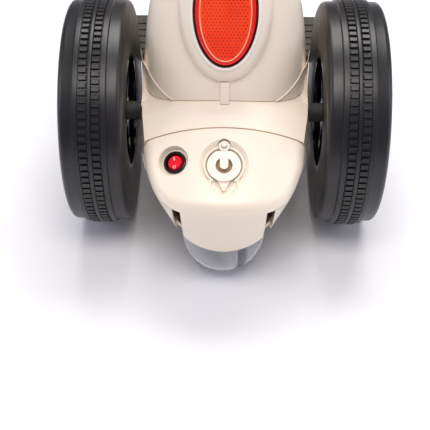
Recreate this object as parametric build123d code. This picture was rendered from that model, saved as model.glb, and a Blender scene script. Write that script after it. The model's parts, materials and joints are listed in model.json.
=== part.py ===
"""Child's ride-on balance robot car: two big driven wheels, a clear ball caster at each end, a moulded
body with a seat, a backrest with a red reflector light, and a console head with two steering levers.

Lengths are in millimetres. While a piece is modelled, y = 0 is the wheel axle, +y points forward and
z = 0 is the floor. The last step moves everything so that y = 0 is the middle of the whole car.
"""

from build123d import *
import math
import os

os.makedirs("parts", exist_ok=True)

# ---- driving dimensions -------------------------------------------------------------------------
wheel_radius = 120.0
wheel_width = 62.0
track_half = 129.0  # middle of the car to the middle of a tyre
wall = 3.0  # moulded shell thickness
seam_gap = 0.6  # reveal between neighbouring shells
air = 0.3  # free gap between moving pieces
fit_gap = 0.05  # radial clearance of a running fit

tail_half_width = 84.0
tail_reach = 161.0  # axle to the end of the tail
tail_bend_y = -60.0  # where the tail starts to round off
deck_half_width = 85.5
nose_reach = 285.0  # axle to the front of the nose
nose_bend_y = 150.0
split_z = 120.0  # parting plane of the lower and upper shells
belly_z = 62.0  # underside of the body
deck_z = 180.0  # middle of the deck's crown
crown_radius = 185.0
panel_slope = 27.5  # fall of the tail panel, in degrees
panel_front_y = -88.0  # seam between the deck and the tail panel
panel_front_z = 170.0
rim_round = 16.0  # rounding of the tail panel's edge

bib_half_width = 41.6
bib_bottom_z = 67.0
slot_width = 8.0  # gap each side of the bib

backrest_top_z = 346.0
backrest_half_width = 83.0
backrest_depth = 60.0
backrest_lean = 20.0  # degrees that the back of the backrest leans from vertical
lens_half_width = 29.0
lens_half_height = 51.0
boss_height = 11.0

ball_radius = 43.5
ball_gap = 8.0  # slot between the two clear half balls
ball_wall = 2.0
stem_radius = 6.0
ball_pin_radius = 2.5
rear_caster_y = -103.0
front_caster_y = 222.0
rear_caster_turn = 27.0  # how far the rear caster stands swivelled, in degrees

rod_radius = 5.0
sleeve_radius = 10.0
rim_radius = 62.0
switch_radius = 11.5
rocker_radius = 8.4
port_radius = 16.2
jack_radius = 2.8
jack_depth = 10.0
screw_radius = 1.4

axle_z = wheel_radius
pieces = {}


def keep(name, shape):
    pieces[name] = shape


def slab(x0, x1, y0, y1, z0, z1):
    """A box from its two corners."""
    size = Box(x1 - x0, y1 - y0, z1 - z0)
    return Pos((x0 + x1) / 2, (y0 + y1) / 2, (z0 + z1) / 2) * size


def rod(radius, x0, x1, y=0.0, z=axle_z):
    """A round bar along X."""
    bar = Cylinder(radius, x1 - x0)
    return Pos((x0 + x1) / 2, y, z) * Rot(0, 90, 0) * bar


def post(radius, x, y, z0, z1):
    """A round bar along Z."""
    return Pos(x, y, (z0 + z1) / 2) * Cylinder(radius, z1 - z0)


def mirrored(shape):
    return mirror(shape, about=Plane.YZ)


# ---- body outline -------------------------------------------------------------------------------
def outline(half_width, rear_start, rear_tip, front_start, front_tip, rear_power, front_power, z):
    """A long plan outline at height z: straight sides, and a superellipse at each end."""
    steps = 9

    def end(start, tip, power, side):
        points = []
        for i in range(steps + 1):
            angle = math.pi * i / steps
            across = math.copysign(abs(math.cos(angle)) ** (2 / power), math.cos(angle))
            along = abs(math.sin(angle)) ** (2 / power)
            points.append((side * half_width * across, start + (tip - start) * along, z))
        return points

    front = end(front_start, front_tip, front_power, 1)
    rear = end(rear_start, rear_tip, rear_power, -1)
    edges = [
        Spline(*front, tangents=[(0, 1, 0), (0, -1, 0)]),
        Line(front[-1], rear[0]),
        Spline(*rear, tangents=[(0, -1, 0), (0, 1, 0)]),
        Line(rear[-1], front[0]),
    ]
    return Face(Wire(edges))


def ring_outline(half_width, centre, rear, front, rear_power, front_power, z):
    """A closed smooth outline at height z: a superellipse whose two ends may differ."""
    steps = 28
    points = []
    for i in range(steps):
        angle = 2 * math.pi * i / steps
        power, reach = (front_power, front - centre) if i <= steps / 2 else (rear_power, centre - rear)
        across = math.copysign(abs(math.cos(angle)) ** (2 / power), math.cos(angle))
        along = math.copysign(abs(math.sin(angle)) ** (2 / power), math.sin(angle))
        points.append((half_width * across, centre + reach * along, z))
    return Face(Wire([Spline(*points, periodic=True)]))


# (height, share of full half width, how far the end draws in)
tail_levels = [(62, 0.56, 7), (84, 0.71, 4), (102, 0.81, 2), (120, 0.90, 0), (142, 0.97, -1),
    (165, 1, -1), (215, 1, -1)]
deck_levels = [(62, 0.66, 26), (84, 0.82, 14), (102, 0.94, 6), (120, 1.02, 0), (142, 1.01, -1),
    (165, 1, 0), (200, 0.98, 3)]


def tail_hull(inset):
    """The rear end of the body as a solid, drawn in by inset."""
    faces = []
    for z, share, draw in tail_levels:
        w = tail_half_width * share - inset
        faces.append(outline(w, tail_bend_y, draw + inset - tail_reach, nose_bend_y, nose_reach, 3.1,
            2.4, z))
    return loft(faces)


def deck_hull(inset):
    """The middle and front of the body as a solid, drawn in by inset."""
    faces = []
    for z, share, draw in deck_levels:
        w = deck_half_width * share - inset
        faces.append(outline(w, 0, -227, nose_bend_y, nose_reach - draw - inset, 2.0, 2.5, z))
    return loft(faces)


def crown_cut(profile):
    """Everything above a side profile of (y, z) points, crowned across the car."""
    centre_z = deck_z - crown_radius
    axis = Axis((0, 0, centre_z), (0, 1, 0))
    edges = []
    for a, b in zip(profile, profile[1:] + profile[:1]):
        edges.append(Line(a, b))
    face = Plane.YZ * make_face(edges)
    return revolve(face.rotate(axis, -55), axis=axis, revolution_arc=110)


def below_panel(drop):
    fall = math.tan(math.radians(panel_slope))
    far = 150.0
    low = (panel_front_y - far, panel_front_z - fall * far - drop)
    high = (panel_front_y + far, panel_front_z + fall * far - drop)
    return crown_cut([low, high, (high[0], 340), (low[0], 340)])


def below_deck(drop):
    back = (panel_front_y, panel_front_z - drop)
    shelf = (-backrest_depth, deck_z - drop)
    far_back = (-240, back[1] - (back[0] + 240) * (shelf[1] - back[1]) / (shelf[0] - back[0]))
    front = (nose_bend_y + 40, deck_z - drop)
    nose = (nose_reach + 40, deck_z - 26 - drop)
    return crown_cut([far_back, shelf, front, nose, (nose[0], 340), (far_back[0], 340)])


def rim_edges(solid):
    """The long edge between a solid's top face and its sides."""
    return [e for e in solid.edges() if e.bounding_box().size.Y > 60 and e.center().Z > 100]


def tail_solid(inset):
    solid = tail_hull(inset) - below_panel(inset * 1.12)
    solid = solid & slab(-200, 200, -300, -30, 0, 400)
    wide = [e for e in rim_edges(solid) if e.bounding_box().size.X > 60]
    return fillet(wide, rim_round - inset)


def deck_solid(inset):
    return deck_hull(inset) - below_deck(inset)


# ---- shells -------------------------------------------------------------------------------------
behind_seam = slab(-200, 200, -400, panel_front_y - seam_gap / 2, 0, 400)
ahead_of_seam = slab(-200, 200, panel_front_y + seam_gap / 2, 400, 0, 400)
above_split = slab(-200, 200, -400, 400, split_z + seam_gap / 2, 400)
below_split = slab(-200, 200, -400, 400, 0, split_z - seam_gap / 2)

tail_outer = tail_solid(0)
tail_inner = tail_solid(wall)
deck_outer = deck_solid(0)
deck_inner = deck_solid(wall)

fall = math.radians(panel_slope)
normal = (0, -math.sin(fall), math.cos(fall))


def on_panel(x, down, lift=0.0, lean=0.0):
    """A plane on the tail panel: down is measured along the slope from the seam."""
    drop = crown_radius - math.sqrt(crown_radius**2 - x**2)
    y = panel_front_y - down * math.cos(fall) + lift * normal[1]
    z = panel_front_z - down * math.sin(fall) - drop + lift * normal[2]
    plane = Plane(origin=(x, y, z), x_dir=(1, 0, 0), z_dir=normal)
    return plane * Rot(0, lean, 0)


port = on_panel(0, 38)
switch = on_panel(-48.6, 29.5, lift=-2.5, lean=-18)


def egg(top_radius, tip_radius, tip_distance):
    """An egg-shaped face: a big circle and a small one below it, joined by tangents."""
    big = Circle(top_radius)
    small = Pos(0, -tip_distance) * Circle(tip_radius)
    return make_hull(big.edges() + small.edges())


dish_depth = 5.0
recess_depth = dish_depth + 3.2
dish = loft([Pos(0, 0, 3) * egg(28.5, 12, 28), Pos(0, 0, -dish_depth) * egg(20.5, 5.5, 26)])
recess = extrude(Pos(0, 0, -recess_depth) * egg(17.6, 4.4, 24.5), recess_depth)
socket_hole = Pos(0, 0, -recess_depth) * Cylinder(8.6, 20)
peg_top = 20.2  # ring and peg above the middle of the port

port_pad = extrude(Pos(0, 0, -recess_depth - wall) * egg(24, 9, 26), recess_depth + wall - 1)
rib_ring = extrude(Pos(0, 0, -dish_depth) * (Circle(19.8) - Circle(18.0)), 2.6)
rib_mouth = extrude(Pos(0, 0, -dish_depth - 1) * Polygon((0, -2), (-24, -34), (24, -34), align=None), 6)
rib_top_cut = Pos(0, peg_top, -dish_depth) * Box(11.6, 8, 8)
rib_feet = Pos(12.9, -18.2, -dish_depth + 1.3) * Box(1.8, 6, 2.6)
rib_feet += Pos(-12.9, -18.2, -dish_depth + 1.3) * Box(1.8, 6, 2.6)
port_rib = rib_ring - rib_mouth - rib_top_cut + rib_feet
peg = Pos(0, peg_top, -dish_depth - 0.4) * Cylinder(2.4, 5.6,
    align=(Align.CENTER, Align.CENTER, Align.MIN))

pocket_depth = 4.5
pocket = Cone(switch_radius + 2.2, switch_radius + 5.5, pocket_depth + 8,
    align=(Align.CENTER, Align.CENTER, Align.MIN))
pocket = Pos(0, 0, -pocket_depth) * pocket
pocket_pad = Pos(0, 0, -pocket_depth - wall) * Cylinder(switch_radius + 5, wall + 3,
    align=(Align.CENTER, Align.CENTER, Align.MIN))
switch_hole = Cylinder(10.0, 40)


def bib_region(extra):
    """The space of the bib below the parting plane, widened by extra on each side."""
    top = bib_half_width + extra
    low = top - 5.0
    high_z = split_z + 1
    face = Polygon((-top, high_z), (top, high_z), (low, 20), (-low, 20), align=None)
    return Plane(origin=(0, -118, 0), x_dir=(1, 0, 0), z_dir=(0, -1, 0)) * extrude(face, 80,
        dir=(0, 0, 1))


bib_edge = Pos(0, -118, bib_bottom_z + 88) * Rot(90, 0, 0) * Cylinder(88, 140)
tail_cover = (tail_outer & behind_seam & above_split) + (tail_outer & bib_region(0) & bib_edge)
tail_cover = tail_cover - tail_inner
tail_cover = tail_cover + (port * port_pad & tail_outer) + (switch * pocket_pad & tail_outer)
tail_cover = tail_cover - port * dish - port * recess - port * socket_hole
tail_cover = tail_cover - switch * pocket - switch * switch_hole
ring_space = Pos(0, peg_top, -dish_depth - 0.2) * Cylinder(6.2, 12,
    align=(Align.CENTER, Align.CENTER, Align.MIN))
tail_cover = tail_cover - port * ring_space + port * port_rib + port * peg
keep("tail_cover", tail_cover)

deck_shell = (deck_outer - deck_inner) & ahead_of_seam & above_split
sleeve_hole = rod(13.3, -200, 200)
column_hole = slab(-34, 34, 190, 250, 150, 250)
keep("deck_shell", deck_shell - sleeve_hole - column_hole)

lower_outer = (tail_hull(0) & behind_seam) + (deck_hull(0) & slab(-200, 200,
    panel_front_y - seam_gap / 2, 400, 0, 400))
lower_inner = (tail_hull(wall) & slab(-200, 200, -400, panel_front_y + 3, 0, 400)) + (
    deck_hull(wall) & slab(-200, 200, panel_front_y + wall, 400, 0, 400))
lower_inner = lower_inner & slab(-200, 200, -400, 400, belly_z + wall, 400)
lower_shell = (lower_outer - lower_inner) & below_split
lower_shell = lower_shell - bib_region(slot_width) - sleeve_hole
for caster_y in (rear_caster_y, front_caster_y):
    lower_shell = lower_shell - post(ball_radius + 2.5, 0, caster_y, 50, 90)

# ---- case screws and their bosses ---------------------------------------------------------------
boss_spots = [(x * side, y) for side in (1, -1) for x, y in ((44, -72), (50, 76), (50, 165))]
case_screws = []
deck_bosses = []
for x, y in boss_spots:
    tower = post(5, x, y, belly_z, split_z - seam_gap / 2)
    tower = tower - post(4, x, y, belly_z - 1, 100) - post(screw_radius + 0.3, x, y, 90, 130)
    lower_shell = lower_shell - post(4.5, x, y, belly_z - 5, 100) + tower
    stub = post(5, x, y, split_z + seam_gap / 2, 200) - post(screw_radius + fit_gap, x, y, 110, 136)
    deck_bosses.append(stub)
    head = post(3.4, x, y, 97.6, 99.9)
    shank = post(screw_radius, x, y, 99.9, 134)
    drive = Pos(x, y, 98) * (Box(3.6, 0.8, 1.2) + Box(0.8, 3.6, 1.2))
    case_screws.append(head + shank - drive)
keep("lower_shell", lower_shell)
keep("case_screws", Compound(children=case_screws))
deck_shell = pieces["deck_shell"]
for stub in deck_bosses:
    deck_shell = deck_shell + (stub & deck_outer)
keep("deck_shell", deck_shell)

# ---- backrest and tail light --------------------------------------------------------------------
lean = math.radians(backrest_lean)


# (share of the height, share of the half width, how far the front draws in)
backrest_levels = [(-0.08, 1.01, 0), (0, 1, 0), (0.25, 0.95, 0), (0.5, 0.86, 0), (0.75, 0.72, 0),
    (0.92, 0.56, 1), (1, 0.4, 5)]


def backrest_solid(inset):
    faces = []
    for share, width_share, draw in backrest_levels:
        z = deck_z + (backrest_top_z - deck_z) * share
        rear = -backrest_depth + (z - deck_z) * math.tan(lean) + draw * 0.6
        w = backrest_half_width * width_share - inset
        if inset:
            z += {1: -inset, -0.08: -4}.get(share, 0)
        faces.append(ring_outline(w, max(0, rear + 7), rear + inset, 20 - draw - inset, 2.1, 3, z))
    return loft(faces)


deck_clear = deck_hull(-seam_gap) - below_deck(-seam_gap)
back_outer = backrest_solid(0)
back_inner = backrest_solid(wall)
lens_middle_y = -39.4
lens_middle_z = 267.6
light = Plane(origin=(0, lens_middle_y, lens_middle_z), x_dir=(1, 0, 0),
    z_dir=(0, -math.cos(lean), math.sin(lean)))


def oval(half_width, half_height, z):
    return Pos(0, 0, z) * Ellipse(half_width, half_height)


boss = loft([oval(45, 71, -boss_height - 6), oval(44.5, 70, -boss_height),
    oval(lens_half_width + 5, lens_half_height + 5, 0)])
well = extrude(oval(lens_half_width + 1.9, lens_half_height + 1.9, -7), 20)
cable_way = Pos(0, 0, -20) * Cylinder(9, 40)
tongue = Pos(0, -backrest_depth + 4, deck_z + 8) * Rot(-backrest_lean, 0, 0) * Box(8.8, 9, 22)
back_rear = back_outer - back_inner + (light * boss - back_inner) + (tongue - back_inner)
back_rear = (back_rear - light * well - light * cable_way) & slab(-200, 200, -200, 8 - seam_gap / 2, 0,
    400)
keep("backrest_shell", back_rear - deck_clear)
back_front = (back_outer - back_inner) & slab(-200, 200, 8 + seam_gap / 2, 200, 0, 400)
keep("backrest_front", back_front - deck_clear)

lens = extrude(oval(lens_half_width, lens_half_height, -6.5), 7.5)
lens = fillet(lens.edges().sort_by(Axis.Z)[-1], 2.5)
keep("reflector_lens", light * lens)
gasket = extrude(oval(lens_half_width + 1.5, lens_half_height + 1.5, -6.9), 7.4)
gasket = gasket - extrude(oval(lens_half_width + 0.2, lens_half_height + 0.2, -8), 12)
keep("reflector_gasket", light * gasket)
bezel = extrude(oval(lens_half_width + 4.8, lens_half_height + 4.8, 0.05), 1.9)
bezel = fillet(bezel.edges().sort_by(Axis.Z)[-1], 1.2)
bezel = bezel - extrude(oval(lens_half_width + 1.8, lens_half_height + 1.8, -3), 12)
keep("reflector_bezel", light * bezel)
lamp_board = Pos(0, 0, -13) * Box(24, 60, 1.6) + Pos(0, 16, -10.7) * Cylinder(2.5, 3) + Pos(0, -16,
    -10.7) * Cylinder(2.5, 3)
light_box_space = Pos(0, 0, -12) * Box(26, 62, 9.5)
keep("backrest_shell", pieces["backrest_shell"] - light * light_box_space)
keep("tail_light_board", light * lamp_board)

# ---- power switch -------------------------------------------------------------------------------
floor_z = -pocket_depth
switch_bezel = Pos(0, 0, floor_z + 0.05) * Cylinder(switch_radius, 2.6,
    align=(Align.CENTER, Align.CENTER, Align.MIN))
switch_bezel = fillet(switch_bezel.edges().sort_by(Axis.Z)[-1], 1.0)
switch_bezel += Pos(0, 0, floor_z - 14) * Cylinder(9.8, 14.5,
    align=(Align.CENTER, Align.CENTER, Align.MIN))
switch_bezel -= Pos(0, 0, floor_z - 11) * Cylinder(rocker_radius + 0.35, 20,
    align=(Align.CENTER, Align.CENTER, Align.MIN))
switch_bezel += Pos(0, 4, floor_z - 17) * Box(0.8, 4.8, 7) + Pos(0, -4, floor_z - 17) * Box(0.8, 4.8, 7)
keep("switch_bezel", switch * switch_bezel)
rocker_axis_z = floor_z - 3.6
rocker = Pos(0, 0, rocker_axis_z) * (Cylinder(rocker_radius, 20) & Sphere(rocker_radius + 0.2))
rocker -= Pos(0, 0, rocker_axis_z - 9) * Box(20, 20, 8)
for side in (1, -1):
    wedge = Pos(0, 0, floor_z + 2.3) * Rot(side * 9, 0, 0) * Pos(0, side * 10, 5) * Box(20, 20, 10)
    rocker -= wedge
rocker = Pos(0, 0, rocker_axis_z) * Rot(8, 0, 0) * Pos(0, 0, -rocker_axis_z) * rocker
keep("power_rocker", switch * rocker)

# ---- charging port ------------------------------------------------------------------------------
cover_top = -dish_depth + 2.2
cover_thick = 2.2
cover_axis_y = 14.6
flat_cover = Pos(0, 0, cover_top - cover_thick) * Circle(port_radius)
beak = Pos(0, 0, cover_top - cover_thick) * Polygon((-6.8, -13.5), (6.8, -13.5), (0.9, -25.4),
    (-0.9, -25.4), align=None)
neck = Pos(0, cover_axis_y - 1.0, cover_top - cover_thick) * Rectangle(7, 2.0)
cover = extrude(flat_cover, cover_thick) + extrude(beak, cover_thick + 0.6) + extrude(neck, cover_thick)
cover = cover - Pos(0, 0, cover_top) * Cylinder(8.2, 12) - slab(-20, 20, cover_axis_y, 40, -20, 20)
tongue_face = Rectangle(8.2, 8.6) + Pos(0, -4.3) * Circle(4.1)
cover += extrude(Pos(0, 4.6, cover_top - cover_thick) * tongue_face, cover_thick) & Pos(0, 0,
    cover_top) * Cylinder(8.4, 12)
keep("charge_cover", port * cover)
ring = extrude(Pos(0, peg_top, cover_top - cover_thick) * Circle(5.3), cover_thick)
ring += extrude(Pos(0, (cover_axis_y + peg_top) / 2, cover_top - cover_thick) * Rectangle(7,
    peg_top - cover_axis_y), cover_thick)
ring = ring - slab(-20, 20, -40, cover_axis_y + 0.3, -20, 20) - Pos(0, peg_top, 0) * Cylinder(2.4 + 0.6,
    20)
keep("cover_anchor", port * ring)
jack = Pos(0, 0, -recess_depth - 12) * Cylinder(8.3, 12 + 1.2,
    align=(Align.CENTER, Align.CENTER, Align.MIN))
jack += Pos(0, 0, -recess_depth - wall - 2.6) * Cylinder(11.5, 2.4,
    align=(Align.CENTER, Align.CENTER, Align.MIN))
jack_mouth = -recess_depth + 1.2
jack += Pos(0, -5.6, jack_mouth + 0.4) * Box(11, 1.4, 1.2)
jack -= Pos(0, 0, jack_mouth - jack_depth) * Cylinder(jack_radius, 20,
    align=(Align.CENTER, Align.CENTER, Align.MIN))
keep("charge_socket", port * jack)

# ---- seat ---------------------------------------------------------------------------------------
seat_z = 222.0
# (height, how far the sides draw in)
seat_levels = [(deck_z - 22, 1), (deck_z + 10, 0), (seat_z - 10, 2), (seat_z - 3, 6), (seat_z, 13)]


def seat_solid(inset):
    faces = []
    for z, draw in seat_levels:
        w = 80 - draw - inset
        height = z
        if inset:
            height += {seat_z: -inset, deck_z - 22: -4}.get(z, 0)
        faces.append(ring_outline(w, 90, 22 + draw / 2 + inset, 168 - draw - inset, 4, 2.6, height))
    solid = loft(faces)
    saddle = Pos(0, 92, seat_z + 232 - inset) * Rot(90, 0, 0) * Cylinder(240, 400)
    return solid - saddle


seat_shell = seat_solid(0) - (seat_solid(wall) - slab(-200, 200, -100, 400, 0, 120)) - deck_clear
keep("seat_shell", seat_shell)

# ---- console column, head and levers ------------------------------------------------------------
head_low_z = 262.0
head_top_z = 392.0
head_half_width = 92.0
column_half_width = 52.0
column_y = 226.0


def column_solid(inset):
    faces = []
    for z, w, rear, front in ((150, 66, 176, 270), (200, 60, 182, 266),
        (head_low_z + 8, column_half_width, 190, 262)):
        if inset:
            z += {150: -4, head_low_z + 8: 4}.get(z, 0)
        faces.append(ring_outline(w - inset, (rear + front) / 2, rear + inset, front - inset, 2.8, 2.8,
            z))
    return loft(faces)


def head_solid(inset):
    """A rounded box: each level follows a superellipse, seen from the front and from the side."""
    faces = []
    middle = (head_low_z + head_top_z) / 2
    half_height = (head_top_z - head_low_z) / 2 - inset
    for share in (-1, -0.92, -0.72, -0.35, 0.1, 0.5, 0.8, 0.94, 1):
        bulge = (1 - (0.985 * abs(share)) ** 3.4) ** (1 / 3.4)
        w = (head_half_width - inset) * bulge
        depth = (61 - inset) * bulge
        z = middle + half_height * share
        faces.append(ring_outline(w, column_y, column_y - depth, column_y + depth, 3, 3, z))
    return loft(faces)


column = column_solid(0) - column_solid(wall) - deck_clear - slab(-200, 200, 0, 400,
    head_low_z - seam_gap, 400)
pivot_z = 238.0
pivot_y = 224.0
pivot_radius = 7.0
lever_x = 64.0
pivot_hole = rod(pivot_radius + 0.5, -200, 200, pivot_y, pivot_z)
keep("console_column", column - pivot_hole)
head_outer = head_solid(0)
head_shell = head_outer - head_solid(wall) - column_solid(0.5 + wall) - slab(-30, 30, 196, 256,
    head_low_z - 20, head_low_z + 20)
visor_zone = loft([
    Plane(origin=(0, 330, 330), x_dir=(1, 0, 0), z_dir=(0, 1, 0)) * RectangleRounded(150, 66, 26),
    Plane(origin=(0, 236, 330), x_dir=(1, 0, 0), z_dir=(0, 1, 0)) * RectangleRounded(150, 66, 26),
])
visor_slim = loft([
    Plane(origin=(0, 330, 330), x_dir=(1, 0, 0), z_dir=(0, 1, 0)) * RectangleRounded(149, 65, 25.5),
    Plane(origin=(0, 236, 330), x_dir=(1, 0, 0), z_dir=(0, 1, 0)) * RectangleRounded(149, 65, 25.5),
])
head_split = column_y
head_front = (head_shell & slab(-200, 200, head_split + seam_gap / 2, 400, 0, 500)) - visor_zone
keep("head_front", head_front)
head_rear = head_shell & slab(-200, 200, 0, head_split - seam_gap / 2, 0, 500)

visor = (head_solid(0.8) - head_solid(wall + 0.4)) & visor_slim & slab(-200, 200, head_split + 12, 400,
    0, 500)
eye_rings = []
eye_bores = []
for side in (1, -1):
    eye_bores.append(Pos(side * 36, 270, 332) * Rot(90, 0, 0) * Cylinder(17.3, 60))
    zone = Pos(side * 36, 270, 332) * Rot(90, 0, 0) * (Cylinder(17, 60) - Cylinder(7, 70))
    eye_rings.append((head_solid(0.1) - head_solid(wall + 0.4)) & zone & slab(-200, 200,
        head_split + 12, 400, 0, 500))
pupils = []
for side in (1, -1):
    zone = Pos(side * 36, 270, 332) * Rot(90, 0, 0) * Cylinder(6.8, 60)
    pupils.append((head_solid(0.8) - head_solid(wall + 0.4)) & zone & slab(-200, 200, head_split + 12,
        400, 0, 500))
for bore in eye_bores:
    visor = visor - bore
keep("visor", Compound(children=[visor] + pupils))
keep("eye_lights", Compound(children=eye_rings))

panel_face = Plane(origin=(0, 174, 352), x_dir=(1, 0, 0), z_dir=(0, -0.81, 0.586))
button_radius = 9.0
head_rear_cut = head_rear
buttons = {"horn_button": -20.0, "music_button": 20.0}
button_block = Pos(0, 0, -14) * Box(66, 28, 16)
button_housing = panel_face * button_block & head_outer
for name, x in buttons.items():
    bore = panel_face * Pos(x, 0, 0) * Cylinder(button_radius + 0.35, 60)
    head_rear_cut = head_rear_cut - bore
    button_housing = button_housing - panel_face * Pos(x, 0, -9) * Cylinder(button_radius + 0.35, 20)
button_housing = button_housing - head_shell
button_housing = button_housing.solids().sort_by(SortBy.VOLUME)[-1]
keep("head_rear", head_rear_cut)
keep("button_housing", button_housing)
for name, x in buttons.items():
    cap = Pos(x, 0, -14) * Cylinder(button_radius, 18, align=(Align.CENTER, Align.CENTER, Align.MIN))
    cap = fillet(cap.edges().sort_by(Axis.Z)[-1], 1.6)
    keep(name, panel_face * cap)


def lever():
    """Right-hand steering lever: pivot pin, hub, arm and the top that the grip slides on."""
    pin = rod(pivot_radius - fit_gap * 2, 40, lever_x + 6, pivot_y, pivot_z)
    hub = rod(16, column_half_width + 6, column_half_width + 18, pivot_y, pivot_z)
    start = (lever_x, pivot_y, pivot_z)
    bend = (lever_x + 34, pivot_y - 10, pivot_z + 34)
    end = (lever_x + 46, pivot_y - 16, pivot_z + 66)
    path = Spline(start, bend, end, tangents=[(1, -0.2, 0.5), (0.15, -0.1, 1)])
    arm = sweep(Plane(origin=start, z_dir=path % 0) * Circle(5.8), path=path)
    stem = Plane(origin=end, z_dir=(0.15, -0.1, 1))
    return pin + hub + arm + stem * Pos(0, 0, 14) * Cylinder(6, 34), stem


lever_right, grip_plane = lever()
bush = rod(pivot_radius + 3, 44, column_half_width + 5.4, pivot_y, pivot_z) - rod(pivot_radius, 40, 80,
    pivot_y, pivot_z)
keep("lever_right", lever_right)
keep("lever_left", mirrored(lever_right))
keep("lever_bushes", Compound(children=[bush, mirrored(bush)]))
keep("console_column", pieces["console_column"] - rod(pivot_radius + 3.2, -200, 200, pivot_y, pivot_z))
grip_face = make_face([
    Polyline((6.15, -1), (11, -1), (11, 3)),
    Spline((11, 3), (13.4, 26), (11.6, 50), (12.4, 70), tangents=[(0.2, 1), (0, 1)]),
    Spline((12.4, 70), (9, 80), (0, 83.5), tangents=[(0, 1), (-1, 0)]),
    Polyline((0, 83.5), (0, 31.6), (6.15, 31.6), (6.15, -1)),
])
grip = grip_plane * revolve(Plane.XZ * grip_face, axis=Axis.Z)
keep("grip_right", grip)
keep("grip_left", mirrored(grip))

# ---- footrests ----------------------------------------------------------------------------------
step = slab(62, 140, 150, 236, 78, 88)
step = fillet(step.edges().filter_by(Axis.Z), 14)
for i in range(5):
    step += slab(82, 130, 160 + i * 14, 165 + i * 14, 88, 89.6)
step = step - deck_hull(-0.8)
keep("footrest_right", step)
keep("footrest_left", mirrored(step))

# ---- drive: rod, gearboxes, motors, sleeves -----------------------------------------------------
inner_face = track_half - wheel_width / 2
gearbox_x0 = 34.0
gearbox_x1 = 64.0
gearbox_half_height = 28.0
gearbox_top = axle_z + gearbox_half_height
collar_end = 84.0
rod_end = track_half + 25
keep("axle_rod", rod(rod_radius, -rod_end, rod_end))
box = slab(gearbox_x0, gearbox_x1, -26, 66, axle_z - gearbox_half_height, gearbox_top)
box = fillet(box.edges().filter_by(Axis.X), 12)
hollow = slab(gearbox_x0 + 2.5, gearbox_x1 - 3, -23.5, 63.5, axle_z - 25.5, axle_z + 25.5)
hollow = fillet(hollow.edges().filter_by(Axis.X), 9.5)
collar = rod(13, gearbox_x1 - 6, collar_end)
gearbox = box - hollow + collar - rod(sleeve_radius + fit_gap, gearbox_x1 - 10,
    200) - rod(rod_radius + 0.02, 0, gearbox_x0 + 5)
motor_y = 40.0
gearbox = gearbox - rod(4.2, 0, gearbox_x0 + 5, motor_y)
keep("gearbox_right", gearbox)
keep("gearbox_left", Rot(0, 0, 180) * gearbox)
motor_x0 = gearbox_x0 - 38
motor = rod(14, motor_x0, gearbox_x0 - 0.1, motor_y) + rod(4, gearbox_x0 - 1, gearbox_x0 + 2, motor_y)
motor += rod(5.5, motor_x0 - 2, motor_x0 + 1, motor_y)
for tag_y in (motor_y - 8, motor_y + 8):
    motor += slab(motor_x0 - 4, motor_x0 + 1, tag_y - 1.2, tag_y + 1.2, axle_z - 2, axle_z + 2)
keep("motor_right", motor)
keep("motor_left", Rot(0, 0, 180) * motor)
hex_length = 12.0
sleeve_end = inner_face + 6
sleeve = rod(sleeve_radius, gearbox_x0 + 6, sleeve_end) + Pos(sleeve_end, 0, axle_z) * Rot(0, 90,
    0) * extrude(RegularPolygon(9.6, 6), hex_length)
gear_teeth = 40
gear_module = 1.1
gear_x0 = gearbox_x0 + 12
blank = rod(gear_teeth * gear_module / 2 - gear_module, gear_x0, gear_x0 + 8)
tooth = slab(gear_x0, gear_x0 + 8, -gear_module * 0.72, gear_module * 0.72, axle_z,
    axle_z + gear_teeth * gear_module / 2 + gear_module * 0.9)
axle_line = Axis((0, 0, axle_z), (1, 0, 0))
output_gear = blank
for i in range(gear_teeth):
    output_gear = output_gear + tooth.rotate(axle_line, 360 * i / gear_teeth)
bore = rod(rod_radius + fit_gap, 0, 200)
keep("drive_sleeve_right", sleeve + output_gear - bore)
keep("drive_sleeve_left", mirrored(pieces["drive_sleeve_right"]))

# ---- wheels -------------------------------------------------------------------------------------
half = wheel_width / 2
tread_half = 15.5
shoulder_drop = 4.0
tyre_wall = 4.0
shoulder = wheel_radius - shoulder_drop


def tyre_face():
    """Half section of the hollow tyre: x across the wheel, y its radius."""
    outer = [
        (tread_half, wheel_radius), (tread_half, shoulder), (half - 6, shoulder),
        (half, shoulder - 8), (half, rim_radius + 12), (half - 2, rim_radius),
    ]
    inner = [
        (half - 2 - tyre_wall, rim_radius), (half - tyre_wall, rim_radius + 12),
        (half - tyre_wall, shoulder - 9), (half - 8, shoulder - tyre_wall), (tread_half - 4,
            shoulder - tyre_wall + 2),
    ]
    right = outer + inner
    left = [(-x, r) for x, r in reversed(right)]
    return make_face(Polyline(*right, *left, close=True))


def spun(face):
    """Turns a section in (x, radius) about the axle, at the right-hand wheel."""
    placed = Plane(origin=(track_half, 0, axle_z), x_dir=(1, 0, 0), z_dir=(0, -1, 0)) * face
    return revolve(placed, axis=axle_line)


def wheel_ring(r0, r1, x0, x1):
    return rod(r1, track_half + x0, track_half + x1) - rod(r0, track_half + x0 - 1, track_half + x1 + 1)


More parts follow.
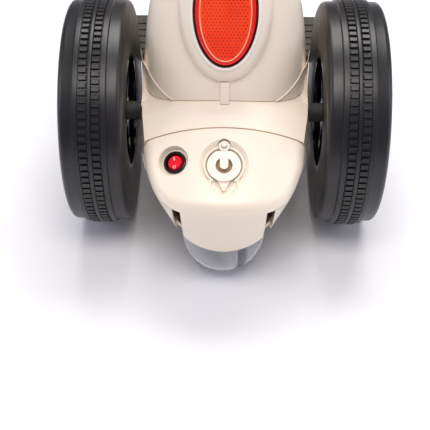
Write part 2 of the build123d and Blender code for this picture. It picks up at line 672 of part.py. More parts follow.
keep("tyre_right", spun(tyre_face()))
hub_radius = 15.0
barrel = wheel_ring(rim_radius - 4.5, rim_radius - 0.1, -(half - 2), half - 2)
web = wheel_ring(hub_radius - 1, rim_radius - 4, -6, -2.5)
hub = wheel_ring(0.1, hub_radius, 6 - half, 14)
rim = barrel + web + hub
spokes = 6
for i in range(spokes):
    angle = 360 * i / spokes
    rib = slab(track_half - half + 7, track_half - 4, -3, 3, axle_z + hub_radius - 3,
        axle_z + rim_radius - 3)
    rim = rim + rib.rotate(axle_line, angle)
    window = slab(track_half - 10, track_half, -9, 9, axle_z + 26, axle_z + 47)
    window = fillet(window.edges().filter_by(Axis.X), 5)
    rim = rim - window.rotate(axle_line, angle + 30)
hex_socket = Pos(sleeve_end - 1, 0, axle_z) * Rot(0, 90, 0) * extrude(RegularPolygon(9.75, 6),
    hex_length + 2)
rim = rim - rod(sleeve_radius + 0.2, 60, sleeve_end + 0.2) - hex_socket - rod(rod_radius + fit_gap, 60,
    200)
keep("rim_right", rim)
cap_outer = rod(rim_radius - 5, track_half + half - 12, track_half + half - 6)
cap_outer = fillet(cap_outer.edges().sort_by(Axis.X)[-1], 3)
boss_cap = rod(22, track_half + half - 8, track_half + half - 2)
boss_cap = fillet(boss_cap.edges().sort_by(Axis.X)[-1], 4)
cap = cap_outer + boss_cap - rod(rim_radius - 8, track_half + half - 13, track_half + half - 9)
cap = cap - rod(18, track_half + half - 13, track_half + half - 5)
for i in range(spokes):
    flute = slab(track_half + half - 8, track_half + half, -8, 8, axle_z + 27, axle_z + 50)
    flute = fillet(flute.edges().filter_by(Axis.X), 6)
    cap = cap - flute.rotate(axle_line, 360 * i / spokes)
keep("hubcap_right", cap)
washer = wheel_ring(rod_radius + 0.05, 10, 14.3, 15.8)
nut = Pos(track_half + 15.9, 0, axle_z) * Rot(0, 90, 0) * extrude(RegularPolygon(9.2, 6),
    7) - rod(rod_radius + 0.05, 60, 200)
keep("axle_nuts", Compound(children=[washer, nut, mirrored(washer), mirrored(nut)]))
for name in ("tyre", "rim", "hubcap"):
    keep(name + "_left", mirrored(pieces[name + "_right"]))

# ---- ball casters -------------------------------------------------------------------------------
cup_radius = ball_radius + 2.4
cup_top = 2 * ball_radius + 4.5
stem_top = cup_top + 26


def dome(y, side):
    """A clear hollow dome, spun about its pin from an arc of one wall's thickness."""
    edge = ball_gap / 2 + ball_wall + 0.01

    def arc(radius):
        slant = radius / math.sqrt(2)
        return [(edge, math.sqrt(radius**2 - edge**2)), (slant, slant), (radius, 0)]

    outer = arc(ball_radius)
    inner = arc(ball_radius - ball_wall)
    sides = [
        ThreePointArc(*outer),
        Line(outer[2], inner[2]),
        ThreePointArc(*inner),
        Line(inner[0], outer[0]),
    ]
    face = Plane(origin=(0, y, ball_radius), x_dir=(1, 0, 0), z_dir=(0, -1, 0)) * make_face(sides)
    solid = revolve(face, axis=Axis((0, y, ball_radius), (1, 0, 0)))
    return solid if side > 0 else mirrored(solid)


def caster(name, y, turn):
    """Swivel housing, yoke, pin and clear half balls of one caster."""
    cup = post(cup_radius, 0, y, belly_z + 0.4, cup_top + wall) - post(cup_radius - 1.8, 0, y, 0, cup_top)
    cup = cup + post(11, 0, y, cup_top, stem_top - 4) - post(stem_radius + fit_gap, 0, y, cup_top - 5,
        stem_top + 5)
    keep(name + "_housing", cup)
    plate = slab(-2.6, 2.6, y - 9, y + 9, ball_radius, 2 * ball_radius + 1)
    plate = plate + rod(9, -2.6, 2.6, y, ball_radius)
    yoke = plate + post(stem_radius, 0, y, 2 * ball_radius, stem_top) + post(10.5, 0, y,
        2 * ball_radius + 0.8, cup_top - air)
    yoke = yoke - rod(ball_pin_radius + fit_gap, -20, 20, y, ball_radius)
    swivel = Axis((0, y, 0), (0, 0, 1))
    keep(name + "_yoke", yoke.rotate(swivel, turn))
    clip = post(9, 0, y, stem_top - 3.4, stem_top - 2.2) - post(stem_radius - 0.9, 0, y, stem_top - 5,
        stem_top)
    groove = post(stem_radius + 1, 0, y, stem_top - 3.5, stem_top - 2.1) - post(stem_radius - 1, 0, y,
        stem_top - 5, stem_top)
    keep(name + "_yoke", pieces[name + "_yoke"] - groove)
    keep(name + "_clip", clip)
    halves = []
    lights = []
    for side in (1, -1):
        face = ball_gap / 2
        halves.append(dome(y, side).rotate(swivel, turn))
        x0, x1 = sorted((side * face, side * (face + ball_wall)))
        plate_radius = math.sqrt(ball_radius**2 - face**2) - 0.4
        disc = rod(plate_radius, x0, x1, y, ball_radius)
        x0, x1 = sorted((side * face, side * 24))
        disc = disc + rod(5, x0, x1, y, ball_radius) - rod(ball_pin_radius, -22, 22, y, ball_radius)
        halves.append(disc.rotate(swivel, turn))
        module = rod(12, min(side * 8, side * 16), max(side * 8, side * 16), y, ball_radius) - rod(5.1,
            -30, 30, y, ball_radius)
        for k in range(3):
            bead = rod(2.4, min(side * 15.5, side * 20), max(side * 15.5, side * 20), y,
                ball_radius + 8.6)
            module = module + bead.rotate(Axis((0, y, ball_radius), (1, 0, 0)), 120 * k)
        lights.append(module.rotate(swivel, turn))
    keep(name + "_ball", Compound(children=halves))
    keep(name + "_leds", Compound(children=lights))
    keep(name + "_pin", rod(ball_pin_radius - 0.01, -21.9, 21.9, y, ball_radius).rotate(swivel, turn))


caster("rear_caster", rear_caster_y, rear_caster_turn)
caster("front_caster", front_caster_y, 0)

# ---- electrics ----------------------------------------------------------------------------------
battery = slab(-35, 35, 72, 119, 66, 166)
battery = fillet(battery.edges().filter_by(Axis.Z), 3)
battery += slab(-26, -20, 80, 81, 166, 172) + slab(20, 26, 80, 81, 166, 172)
keep("battery", battery)
# The board lies across the tops of the two gearboxes.
board_rear = -30
board_low = gearbox_top
board_top = board_low + 1.6
board = slab(-44, 44, board_rear, board_rear + 38, board_low, board_top)
chips = ((-30, 4, 14, 14, 9), (-8, 6, 16, 10, 6), (14, 4, 16, 22, 12), (-28, 26, 22, 8, 5))
for chip_x, chip_y, width, depth, tall in chips:
    chip_rear = board_rear + chip_y
    board += slab(chip_x, chip_x + width, chip_rear, chip_rear + depth, board_top, board_top + tall)
keep("control_board", board)
speaker = Pos(0, 200, 158) * (Cone(9, 24, 14) + Pos(0, 0, 7.8) * Cylinder(25, 1.6) + Pos(0, 0,
    -11) * Cylinder(12, 8))
keep("speaker", speaker)

# ---- move to the middle of the car and write ----------------------------------------------------
boxes = [shape.bounding_box() for shape in pieces.values()]
middle_y = (min(b.min.Y for b in boxes) + max(b.max.Y for b in boxes)) / 2
for name, shape in pieces.items():
    export_step(Pos(0, -middle_y, 0) * shape, "parts/" + name + ".step")
print("pieces", len(pieces), "axle at y =", round(-middle_y, 4))
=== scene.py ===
import json
import math
import bpy
import bmesh
from mathutils import Matrix, Vector
from mathutils.bvhtree import BVHTree


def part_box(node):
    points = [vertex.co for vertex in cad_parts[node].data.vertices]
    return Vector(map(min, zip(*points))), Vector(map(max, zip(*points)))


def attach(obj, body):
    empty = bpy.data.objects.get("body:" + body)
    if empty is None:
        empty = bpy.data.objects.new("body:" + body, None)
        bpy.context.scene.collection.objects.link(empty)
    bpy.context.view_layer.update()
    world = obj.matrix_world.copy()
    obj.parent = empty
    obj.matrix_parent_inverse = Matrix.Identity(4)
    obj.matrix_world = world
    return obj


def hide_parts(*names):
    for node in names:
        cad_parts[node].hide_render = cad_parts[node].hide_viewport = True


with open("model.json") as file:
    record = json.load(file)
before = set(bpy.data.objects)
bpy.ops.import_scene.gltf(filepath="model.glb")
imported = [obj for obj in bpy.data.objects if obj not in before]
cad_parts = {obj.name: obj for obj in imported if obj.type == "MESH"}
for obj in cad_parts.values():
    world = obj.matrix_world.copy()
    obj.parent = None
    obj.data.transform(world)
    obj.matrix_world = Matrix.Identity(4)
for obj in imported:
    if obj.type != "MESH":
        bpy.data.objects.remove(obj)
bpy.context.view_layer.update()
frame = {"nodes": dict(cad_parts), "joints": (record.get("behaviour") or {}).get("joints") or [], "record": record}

# ---- sizes and places -----------------------------------------------------------------------------
mm = 0.001
nodes = frame["nodes"]
joints = {joint["name"]: joint for joint in frame["joints"]}
axle = Vector(joints["wheel_right_spin"]["pos_m"])
wheel_radius = axle.z
track_half = axle.x
axle_y = axle.y
blocks_round = 102  # tread blocks in one row
backrest_lean = math.radians(20)
panel_slope = math.radians(27.5)


# ---- small helpers --------------------------------------------------------------------------------
def linear(hex_colour):
    """An sRGB hex colour as linear red, green, blue and a full alpha."""
    channels = [int(hex_colour[i:i + 2], 16) / 255 for i in (1, 3, 5)]
    return (*[c / 12.92 if c <= 0.04045 else ((c + 0.055) / 1.055) ** 2.4 for c in channels], 1.0)


def add_node(tree, kind, inputs=None, **settings):
    """Adds a node, sets it up, and fills its inputs with values or with other nodes' outputs."""
    node = tree.nodes.new(kind)
    for key, value in settings.items():
        setattr(node, key, value)
    for key, value in (inputs or {}).items():
        if isinstance(value, bpy.types.NodeSocket):
            tree.links.new(value, node.inputs[key])
        else:
            node.inputs[key].default_value = value
    return node


def finished(work, name):
    """Turns a mesh being built into a mesh that an object can use, with its faces turned outward."""
    bmesh.ops.recalc_face_normals(work, faces=work.faces)
    data = bpy.data.meshes.new(name)
    work.to_mesh(data)
    work.free()
    return data


def join_rings(work, low, high):
    """Fills the strip between two closed rings that have as many points."""
    for j in range(len(low)):
        k = (j + 1) % len(low)
        work.faces.new((low[j], low[k], high[k], high[j]))


def new_object(name, mesh, material, body):
    """Puts a finished mesh in the scene, smooth and in its material, riding on a body."""
    piece = bpy.data.objects.new(name, mesh)
    bpy.context.scene.collection.objects.link(piece)
    mesh.materials.append(material)
    for face in mesh.polygons:
        face.use_smooth = True
    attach(piece, body)
    return piece


# ---- materials ------------------------------------------------------------------------------------
def moulded(name, light, dark, rough, grain_mm, grain_height_mm, patch_mm=45, edge_mm=0.0, **fixed):
    """A moulded plastic: two close shades in soft patches, uneven gloss and a fine surface grain."""
    material = bpy.data.materials.new(name)
    material.use_nodes = True
    tree = material.node_tree
    tree.nodes.clear()
    place = add_node(tree, "ShaderNodeTexCoord").outputs["Object"]
    patches = add_node(tree, "ShaderNodeTexNoise", {
        "Vector": place, "Scale": 1000 / patch_mm, "Detail": 3.0})
    shade = add_node(tree, "ShaderNodeValToRGB", {"Fac": patches.outputs["Fac"]})
    shade.color_ramp.elements[0].position = 0.35
    shade.color_ramp.elements[0].color = linear(dark)
    shade.color_ramp.elements[1].position = 0.65
    shade.color_ramp.elements[1].color = linear(light)
    smears = add_node(tree, "ShaderNodeTexNoise", {
        "Vector": place, "Scale": 2500 / patch_mm, "Detail": 1.0})
    gloss = add_node(tree, "ShaderNodeMapRange", {
        "Value": smears.outputs["Fac"], "From Min": 0.3, "From Max": 0.7,
        "To Min": rough * 0.92, "To Max": min(1.0, rough * 1.08)})
    grain = add_node(tree, "ShaderNodeTexNoise", {
        "Vector": place, "Scale": 1000 / grain_mm, "Detail": 2.0})
    bump_inputs = {
        "Height": grain.outputs["Fac"], "Strength": 1.0, "Distance": grain_height_mm * mm}
    if edge_mm:
        soft_edge = add_node(tree, "ShaderNodeBevel", {"Radius": edge_mm * mm}, samples=4)
        bump_inputs["Normal"] = soft_edge.outputs["Normal"]
    bump = add_node(tree, "ShaderNodeBump", bump_inputs)
    inputs = {
        "Base Color": shade.outputs["Color"], "Roughness": gloss.outputs["Result"],
        "Normal": bump.outputs["Normal"]}
    inputs.update(fixed)
    shader = add_node(tree, "ShaderNodeBsdfPrincipled", inputs)
    add_node(tree, "ShaderNodeOutputMaterial", {"Surface": shader.outputs["BSDF"]})
    return material


# Injection-moulded ABS: warm cream with a silky, slightly uneven shine and soft moulded edges.
cream_abs = moulded(
    "cream_moulded_abs", "#f3e6d4", "#f2e4d1", 0.33, 0.9, 0.004, patch_mm=140, edge_mm=0.7, **{"IOR": 1.53})
# Blow-moulded polyethylene: a dull violet-black skin with a coarse, waxy grain.
tyre_plastic = moulded(
    "black_blow_moulded_polyethylene", "#1b191c", "#151316", 0.36, 0.8, 0.015, **{"IOR": 1.5})
# Polished black ABS: deep black that mirrors the room.
black_abs = moulded("polished_black_abs", "#141216", "#0e0d10", 0.13, 1.5, 0.003, **{"IOR": 1.53})
# Spark-textured nylon: matt, warm dark grey.
grey_nylon = moulded("spark_textured_grey_nylon", "#47453f", "#3b3a36", 0.6, 0.5, 0.02, **{"IOR": 1.5})
# Moulded white ABS: near white with a clean shine.
white_abs = moulded(
    "white_moulded_abs", "#f6f2ea", "#f0ebe1", 0.28, 1.2, 0.004, edge_mm=0.4, **{"IOR": 1.53})
# Soft PVC: off-white, slightly waxy and see-through at its edges.
soft_pvc = moulded(
    "off_white_soft_pvc", "#f5ebdd", "#efe4d4", 0.42, 0.8, 0.006, edge_mm=0.35, **{"IOR": 1.52})
# Moulded red polycarbonate of the rocker: saturated, wet-looking red.
red_polycarbonate = moulded(
    "red_moulded_polycarbonate", "#f2122b", "#e60a20", 0.18, 1.5, 0.003, **{"IOR": 1.58})
# Pressed acrylic reflector: orange-red under a glassy skin, with a painted glow though it is no lamp.
red_acrylic_painted_glow = moulded(
    "red_pressed_acrylic_painted_glow", "#f5160a", "#e80c06", 0.12, 2.0, 0.01,
    **{"IOR": 1.49, "Coat Weight": 0.5, "Emission Color": linear("#e00a00"), "Emission Strength": 0.1})
# The field of small prisms inside it: a brighter orange red and a painted glow, standing in for the light the
# prisms send back.
painted_glow_orange_acrylic = moulded(
    "orange_red_prism_painted_glow", "#fb4a18", "#f03a10", 0.2, 2.0, 0.01,
    **{"IOR": 1.49, "Emission Color": linear("#f03000"), "Emission Strength": 0.12})
# The reflector's prisms in painted shade: the same acrylic coloured a darker red.
painted_shade_red = moulded("dark_red_prism_painted_shade", "#b81208", "#a00c06", 0.2, 2.0, 0.004, **{"IOR": 1.49})
# Painted highlight along the moulded line round the reflector's prisms: the same acrylic coloured pale.
painted_highlight_line = moulded("pale_painted_highlight_line", "#ffd2a8", "#ffc294", 0.25, 2.0, 0.002, **{"IOR": 1.49})
# Foam rubber of the grips: dead black with open pores.
grip_rubber = moulded("black_foam_rubber", "#1d1c1e", "#161517", 0.8, 0.7, 0.12, **{"IOR": 1.5})
# Turned and zinc-plated steel: bright, with fine uneven gloss.
zinc_steel = moulded("zinc_plated_steel", "#c9c8c4", "#b5b4b1", 0.3, 0.6, 0.004, **{"Metallic": 1.0})
# Enamelled copper wire: warm and shiny.
copper_wire = moulded("enamelled_copper_wire", "#d9803f", "#c26a2c", 0.22, 0.6, 0.003, **{"Metallic": 1.0})
# Solder-masked fibreglass: satin green.
circuit_board = moulded("solder_masked_fibreglass", "#1f7a4a", "#196a3f", 0.4, 0.6, 0.01, **{"IOR": 1.5})
# Moulded battery case: dull charcoal.
battery_case = moulded("charcoal_polypropylene", "#3a3a3e", "#313135", 0.55, 0.5, 0.02, **{"IOR": 1.49})
# Lit polycarbonate of the eyes: cool blue with its own light.
eye_glow = moulded(
    "lit_blue_polycarbonate", "#8fdcff", "#79cff5", 0.2, 2.0, 0.002,
    **{"IOR": 1.58, "Emission Color": linear("#4cc3ff"), "Emission Strength": 1.5})
# Clear moulded polycarbonate: faintly violet glass with bright rims.
clear_polycarbonate = moulded(
    "clear_moulded_polycarbonate", "#ffffff", "#fafaff", 0.05, 6.0, 0.06,
    **{"IOR": 1.25, "Transmission Weight": 0.82})

finishes = {
    "cream_plastic": cream_abs, "tyre_plastic": tyre_plastic, "black_gloss": black_abs,
    "grey_plastic": grey_nylon,
    "red_lens": red_acrylic_painted_glow, "red_gloss": red_polycarbonate, "white_plastic": white_abs,
    "clear_plastic": clear_polycarbonate, "soft_white": soft_pvc, "soft_black": grip_rubber,
    "steel": zinc_steel,
    "circuit_board": circuit_board, "battery_case": battery_case, "blue_light": eye_glow,
}
# Painted shade: cream ABS coloured a warm tan for the shade that falls deep in a recess or a seam.
painted_shade_abs = moulded("tan_painted_shade_abs", "#a9865c", "#8f6f49", 0.5, 0.9, 0.01, **{"IOR": 1.53})
# Painted shade: the inside of the charge socket is coloured tan.
painted_shade_finishes = {"charge_socket": painted_shade_abs}
for part in frame["record"]["subparts"]:
    for material_slot in nodes[part["node"]].material_slots:
        material_slot.material = painted_shade_finishes.get(part["node"], finishes[part["material_slot"]])


# ---- camera, lights and floor ---------------------------------------------------------------------
def make_camera():
    """A long lens, above and behind the tail, looking down at 45 degrees."""
    data = bpy.data.cameras.new("camera")
    camera = bpy.data.objects.new("camera", data)
    bpy.context.scene.collection.objects.link(camera)
    camera.location = (0, axle_y - 6.356 * wheel_radius, wheel_radius * 6.042)
    tilt = Matrix.Rotation(math.radians(45), 4, "X") @ Matrix.Rotation(math.radians(0.6), 4, "Z")
    camera.rotation_euler = tilt.to_euler()
    data.sensor_width = 36
    data.lens = 75.35
    data.shift_x = -0.0198
    bpy.context.scene.camera = camera


def area_light(name, place, target, size, power, colour):
    """A soft box of that width and height in metres, aimed at a point."""
    data = bpy.data.lights.new(name, "AREA")
    data.shape = "RECTANGLE"
    data.size, data.size_y = size
    data.energy = power
    data.color = linear(colour)[:3]
    light = bpy.data.objects.new(name, data)
    bpy.context.scene.collection.objects.link(light)
    light.location = place
    light.rotation_euler = (Vector(target) - Vector(place)).to_track_quat("-Z", "Y").to_euler()


make_camera()
area_light("key", (0.15, 0.75, 1.75), (0, -0.05, 0.1), (1.4, 0.9), 27, "#fffdf8")
area_light("overhead", (0, -0.75, 1.7), (0, -0.1, 0.2), (1.1, 0.6), 15, "#fffaf4")
area_light("left_fill", (-1.5, -0.3, 0.9), (0, 0, 0.15), (0.8, 1.0), 7, "#eef0ff")
area_light("right_fill", (1.5, -0.3, 0.9), (0, 0, 0.15), (0.8, 1.0), 7, "#eef0ff")
world = bpy.data.worlds.new("studio")
world.use_nodes = True
world.node_tree.nodes["Background"].inputs["Color"].default_value = linear("#efedfb")
world.node_tree.nodes["Background"].inputs["Strength"].default_value = 0.3
bpy.context.scene.world = world
bpy.context.scene.view_settings.view_transform = "Standard"

floor_mesh = bpy.data.meshes.new("floor")
floor_mesh.from_pydata([(-6, -6, 0), (6, -6, 0), (6, 6, 0), (-6, 6, 0)], [], [(0, 1, 2, 3)])
floor = bpy.data.objects.new("floor", floor_mesh)
bpy.context.scene.collection.objects.link(floor)
# Painted studio board: matt and almost white.
floor_mesh.materials.append(moulded("matt_white_board", "#f4f4f7", "#f2f2f6", 0.9, 3.0, 0.01, patch_mm=400))


# ---- tyres ----------------------------------------------------------------------------------------
def tyre_section():
    """Half of the tyre's outer skin, bead to middle, as (offset across, radius) in millimetres."""
    bead = [(29.0, 62.0), (29.6, 63.6), (30.4, 68.0), (30.9, 78.0), (31.0, 92.0)]
    ridge = [(31.0, 95.0), (31.0, 104.0)]
    shoulder = [(31 - 6 * (1 - math.cos(a)), 108 + 8 * math.sin(a)) for a in
                [math.radians(d) for d in (0, 18, 36, 54, 72, 90)]]
    drum = [(17.5, 116.3), (16.6, 116.6), (16.1, 118.0), (15.6, 118.5), (14.6, 118.6), (11.0, 118.6),
            (10.6, 117.6)]
    rib = [(2.3, 117.6), (1.9, 119.3), (1.3, 119.6)]
    return bead + ridge + shoulder + drum + rib


def tyre_mesh(name):
    """The tyre round the X axis at the origin: a spun skin, a lining, and two rows of raised blocks."""
    half = tyre_section()
    outer = half + [(-x, r) for x, r in reversed(half)]
    lining = [(-26, 62), (-27, 74), (-27, 106), (-22, 112), (22, 112), (27, 106), (27, 74), (26, 62)]
    section = outer + lining
    mesh = bmesh.new()
    around = blocks_round * 2
    loops = []
    for i in range(around):
        angle = 2 * math.pi * i / around
        sine, cosine = math.sin(angle), math.cos(angle)
        loops.append([mesh.verts.new((x * mm, r * mm * sine, r * mm * cosine)) for x, r in section])
    for i in range(around):
        join_rings(mesh, loops[i], loops[(i + 1) % around])
    pitch = 2 * math.pi / blocks_round
    for row in (1, -1):
        for i in range(blocks_round):
            add_block(mesh, row, (i + (0.5 if row < 0 else 0)) * pitch, pitch)
    return finished(mesh, name)


def add_block(mesh, row, angle, pitch):
    """One tread block with sloping sides and a chamfered top."""
    levels = ((117.4, 0.36, 2.2, 10.2), (119.5, 0.31, 2.5, 9.9), (120.0, 0.25, 3.0, 9.4))
    rings = []
    for r, spread, near, far in levels:
        ring = []
        for across, turn in ((near, -spread), (far, -spread), (far, spread), (near, spread)):
            a = angle + turn * pitch
            ring.append(mesh.verts.new((row * across * mm, r * mm * math.sin(a), r * mm * math.cos(a))))
        rings.append(ring)
    for low, high in zip(rings, rings[1:]):
        join_rings(mesh, low, high)
    mesh.faces.new(rings[-1])
    mesh.faces.new(rings[0][::-1])


def make_tyres():
    """Both tyres, each turning with its wheel."""
    for side, name in ((1, "right"), (-1, "left")):
        mesh = tyre_mesh("tyre_" + name)
        mesh.transform(Matrix.Translation((side * track_half, axle_y, wheel_radius)))
        tyre = new_object("treaded_tyre_" + name, mesh, tyre_plastic, "wheel_" + name)
        sharp_by_angle(tyre.data, 32)
        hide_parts("tyre_" + name)


def sharp_by_angle(mesh, degrees):
    """Keeps soft curves smooth and moulded corners crisp."""
    work = bmesh.new()
    work.from_mesh(mesh)
    limit = math.radians(degrees)
    for edge in work.edges:
        edge.smooth = len(edge.link_faces) == 2 and edge.calc_face_angle(0) < limit
    work.to_mesh(mesh)
    work.free()


make_tyres()


# ---- reflector face -------------------------------------------------------------------------------
def reflector_frame():
    """A matrix whose origin is the middle of the reflector's face and whose Z points out of it."""
    low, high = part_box("reflector_lens")
    middle = (low + high) / 2
    out = Vector((0, -math.cos(backrest_lean), math.sin(backrest_lean)))
    up = Vector((0, math.sin(backrest_lean), math.cos(backrest_lean)))
    face_height = max(vertex.co.dot(out) for vertex in nodes["reflector_lens"].data.vertices)
    origin = middle + out * (face_height - middle.dot(out))
    basis = Matrix((Vector((1, 0, 0)), up, out)).transposed().to_4x4()
    basis.translation = origin
    return basis


def oval_bead(name, half_width, half_height, bead, steps=120, sides=8):
    """A thin round bead laid along an oval, in the reflector's own frame."""
    mesh = bmesh.new()
    loops = []
    for i in range(steps):
        a = 2 * math.pi * i / steps
        middle = Vector((half_width * math.cos(a), half_height * math.sin(a), 0))
        outward = Vector((half_height * math.cos(a), half_width * math.sin(a), 0)).normalized()
        ring = []
        for j in range(sides):
            b = 2 * math.pi * j / sides
            rise = Vector((0, 0, bead * 0.6 * math.sin(b)))
            ring.append(mesh.verts.new(middle + outward * bead * math.cos(b) + rise))
        loops.append(ring)
    for i in range(steps):
        a, b = loops[i], loops[(i + 1) % steps]
        for j in range(sides):
            k = (j + 1) % sides
            mesh.faces.new((a[j], b[j], b[k], a[k]))
    return finished(mesh, name)


def oval_plate(name, half_width, half_height, height, steps=120):
    """A very slightly crowned oval plate, the moulded field inside the bead."""
    mesh = bmesh.new()
    rings = []
    levels = ((1, -0.1 * mm), (1, height * 0.6), (0.97, height), (0.6, height * 1.3), (0.3, height * 1.5))
    for share, z in levels:
        ring = []
        for i in range(steps):
            a = 2 * math.pi * i / steps
            x, y = half_width * share * math.cos(a), half_height * share * math.sin(a)
            ring.append(mesh.verts.new((x, y, z)))
        rings.append(ring)
    for low, high in zip(rings, rings[1:]):
        join_rings(mesh, low, high)
    mesh.faces.new(rings[-1])
    mesh.faces.new(rings[0][::-1])
    return finished(mesh, name)


def prism_field(name, half_width, half_height, pitch, radius, height, sides):
    """Low moulded pyramids on a staggered grid that fills an oval."""
    mesh = bmesh.new()
    row_step = pitch * math.sqrt(3) / 2
    rows = int(half_height / row_step) + 1
    for row in range(-rows, rows + 1):
        shift = pitch / 2 if row % 2 else 0
        columns = int(half_width / pitch) + 2
        for column in range(-columns, columns + 1):
            x, y = column * pitch + shift, row * row_step
            if (x / half_width) ** 2 + (y / half_height) ** 2 > 1:
                continue
            low = []
            high = []
            for j in range(sides):
                a = 2 * math.pi * (j + 0.5) / sides
                across, along = radius * math.cos(a), radius * math.sin(a)
                low.append(mesh.verts.new((x + across, y + along, -0.1 * mm)))
                high.append(mesh.verts.new((x + across * 0.5, y + along * 0.5, height)))
            join_rings(mesh, low, high)
            mesh.faces.new(high)
            mesh.faces.new(low[::-1])
    return finished(mesh, name)


def make_reflector_face():
    """What is moulded into the reflector: a field, its outline and its prisms, coloured with painted light: a
    brighter orange field with a painted glow, a painted highlight on the outline and painted shade on the prisms.
    """
    place = reflector_frame()
    line = oval_bead("reflector_line", 24.2 * mm, 46.2 * mm, 0.55 * mm)
    field = oval_plate("reflector_field", 23.9 * mm, 45.9 * mm, 0.12 * mm)
    dots = prism_field("reflector_dots", 21.8 * mm, 43.8 * mm, 3.4 * mm, 0.95 * mm, 0.55 * mm, 6)
    for mesh, material in ((line, painted_highlight_line), (field, painted_glow_orange_acrylic), (dots, painted_shade_red)):
        mesh.transform(place)
        piece = new_object(mesh.name, mesh, material, "chassis")


make_reflector_face()


# ---- marks on the rocker --------------------------------------------------------------------------
def rocker_frame():
    """The rocker's pivot, with X along its pivot axis and Z up through its face, tilted as it rests."""
    joint = joints["power_switch_tilt"]
    across = -Vector(joint["axis"]).normalized()
    up = Vector((0, math.cos(panel_slope), math.sin(panel_slope)))
    out = across.cross(up).normalized()
    basis = Matrix((across, up, out)).transposed().to_4x4()
    basis.translation = Vector(joint["pos_m"])
    return basis @ Matrix.Rotation(math.radians(8), 4, "X")


def make_switch_marks():
    """The generic line and ring of an on and off switch, as thin raised ink."""
    place = rocker_frame()
    slope = math.radians(9)
    pivot_to_face = 5.9
    marks = (("mark_line", 4.0, 0.42, 1.5, 0.3), ("mark_ring", -4.0, 1.25, 1.45, 0.28))
    for name, y, half_width, half_height, ink in marks:
        mesh = oval_bead(name, half_width * mm, half_height * mm, ink * mm, 48, 6)
        lean = slope if y > 0 else -slope
        height = pivot_to_face + abs(y) * math.tan(slope)
        spot = Matrix.Translation((0, y * mm, height * mm)) @ Matrix.Rotation(lean, 4, "X")
        mesh.transform(place @ spot)
        piece = new_object(name, mesh, white_abs, "rocker")


make_switch_marks()


# ---- coils inside the clear balls -----------------------------------------------------------------
def make_coils():
    """Copper windings round the light modules, turning with each ball."""
    wire = 1.1 * mm
    pitch = 1.15 * mm
    for end in ("rear", "front"):
        joint = joints[end + "_ball_roll"]
        axis = Vector(joint["axis"]).normalized()
        turn = axis.to_track_quat("X", "Z").to_matrix().to_4x4()
        turn.translation = Vector(joint["pos_m"])
        for side in (1, -1):
            for layer in range(4):
                turn_radius = (13.2 + 0.1 * layer) * mm
                mesh = oval_bead("coil", turn_radius, turn_radius, wire / 2, 60, 6)
                mesh.transform(Matrix.Rotation(math.pi / 2, 4, "Y"))
                mesh.transform(turn @ Matrix.Translation((side * (9.2 * mm + pitch * layer), 0, 0)))
                name = f"{end}_coil_{'right' if side > 0 else 'left'}_{layer}"
                piece = new_object(name, mesh, copper_wire, end + "_ball")


make_coils()

# ---- seat wall and painted seam shade -------------------------------------------------------------
def tree_of(*names):
    """A tree of triangles of some CAD nodes, to find their surfaces with rays."""
    points = []
    faces = []
    for name in names:
        mesh = nodes[name].data
        start = len(points)
        points += [vertex.co.copy() for vertex in mesh.vertices]
        faces += [[start + i for i in face.vertices] for face in mesh.polygons]
    return BVHTree.FromPolygons(points, faces)


def surface_height(tree, x, y, otherwise):
    """How high the topmost surface is above a point of the floor."""
    hit = tree.ray_cast(Vector((x, y, 0.5)), Vector((0, 0, -1)))[0]
    return hit.z if hit else otherwise


def back_of_panel(tree, x, z, otherwise):
    """Where a level line from behind first meets the surface."""
    hit = tree.ray_cast(Vector((x, -0.5, z)), Vector((0, 1, 0)))[0]
    return hit.y if hit else otherwise


def loft(name, sections):
    """A closed skin through equal closed sections, with flat ends."""
    mesh = bmesh.new()
    rings = [[mesh.verts.new(point) for point in section] for section in sections]
    for a, b in zip(rings, rings[1:]):
        join_rings(mesh, a, b)
    mesh.faces.new(rings[0][::-1])
    mesh.faces.new(rings[-1])
    return finished(mesh, name)


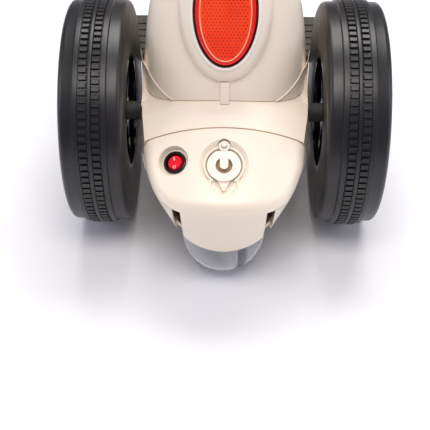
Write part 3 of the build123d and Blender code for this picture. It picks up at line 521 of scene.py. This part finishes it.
def make_seat_walls():
    """The corners of the body that sweep up round the foot of the backrest, with a rounded lip."""
    half = 84 * mm
    rise = 41 * mm
    reach = 44 * mm
    lip = 1.8 * mm
    panel = tree_of("backrest_shell")
    body = tree_of("deck_shell", "lower_shell", "tail_cover")
    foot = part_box("backrest_shell")[0].z + 1 * mm
    foot_back = back_of_panel(panel, 0.03, foot + 1 * mm, axle_y)
    for side, name in ((1, "right"), (-1, "left")):
        sections = []
        top_back = foot_back
        for i in range(40):
            share = 0.2 + 0.8 * (i / 39) ** 0.8
            x = side * half * share
            inner_x = side * min(abs(x), 78 * mm)
            height = rise * (1 - max(0.0, 1 - share ** 2.4) ** (1 / 2.4))
            top_back = back_of_panel(panel, inner_x, foot + height, top_back)
            depth = lip + reach * (height / rise) ** 0.45
            start_y = foot_back - depth
            start_z = surface_height(body, inner_x, start_y, foot) - 0.5 * mm
            start = Vector((x, start_y, start_z))
            bend_z = surface_height(body, inner_x, foot_back - lip, foot) + 0.4 * mm
            bend = Vector((x, foot_back - lip, bend_z))
            end = Vector((x, top_back - lip, foot + height))
            steps = [k / 11 for k in range(12)]
            curve = [start.lerp(bend, t).lerp(bend.lerp(end, t), t) for t in steps]
            lip_points = [end + Vector((0, 0.25 * lip, 0.35 * mm)), end + Vector((0, 0.7 * lip, 0.45 * mm)),
                          Vector((x, top_back + 1.2 * mm, end.z + 0.1 * mm))]
            under = [Vector((x, foot_back + 6 * mm, foot - 1.5 * mm)),
                     Vector((x, start_y, start.z - 1.5 * mm))]
            sections.append(curve + lip_points + under)
        mesh = loft("seat_wall_" + name, sections)
        wall = new_object(mesh.name, mesh, cream_abs, "chassis")
        sharp_by_angle(wall.data, 40)


def make_painted_seam_shade():
    """Painted shade in the seam between the tail cover and the shelf in front of it: a tan strip
    that lies just below the skin, so it only darkens and widens the seam."""
    cover = tree_of("tail_cover")
    body = tree_of("deck_shell", "lower_shell")
    seam_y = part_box("tail_cover")[1].y
    radius = 0.85 * mm
    sections = []
    for i in range(81):
        x = (-79 + 158 * i / 80) * mm
        back = surface_height(cover, x, seam_y - 1.6 * mm, 0)
        front = surface_height(body, x, seam_y + 2.2 * mm, back)
        middle = Vector((x, seam_y + 0.3 * mm, (back + front) / 2 - 0.45 * mm))
        sections.append([middle + Vector((0, radius * math.cos(a), radius * math.sin(a)))
                         for a in [2 * math.pi * k / 8 for k in range(8)]])
    mesh = loft("painted_seam_shade", sections)
    # Painted shade: the strip is coloured tan to darken the seam.
    strip = new_object(mesh.name, mesh, painted_shade_abs, "chassis")


make_seat_walls()
make_painted_seam_shade()
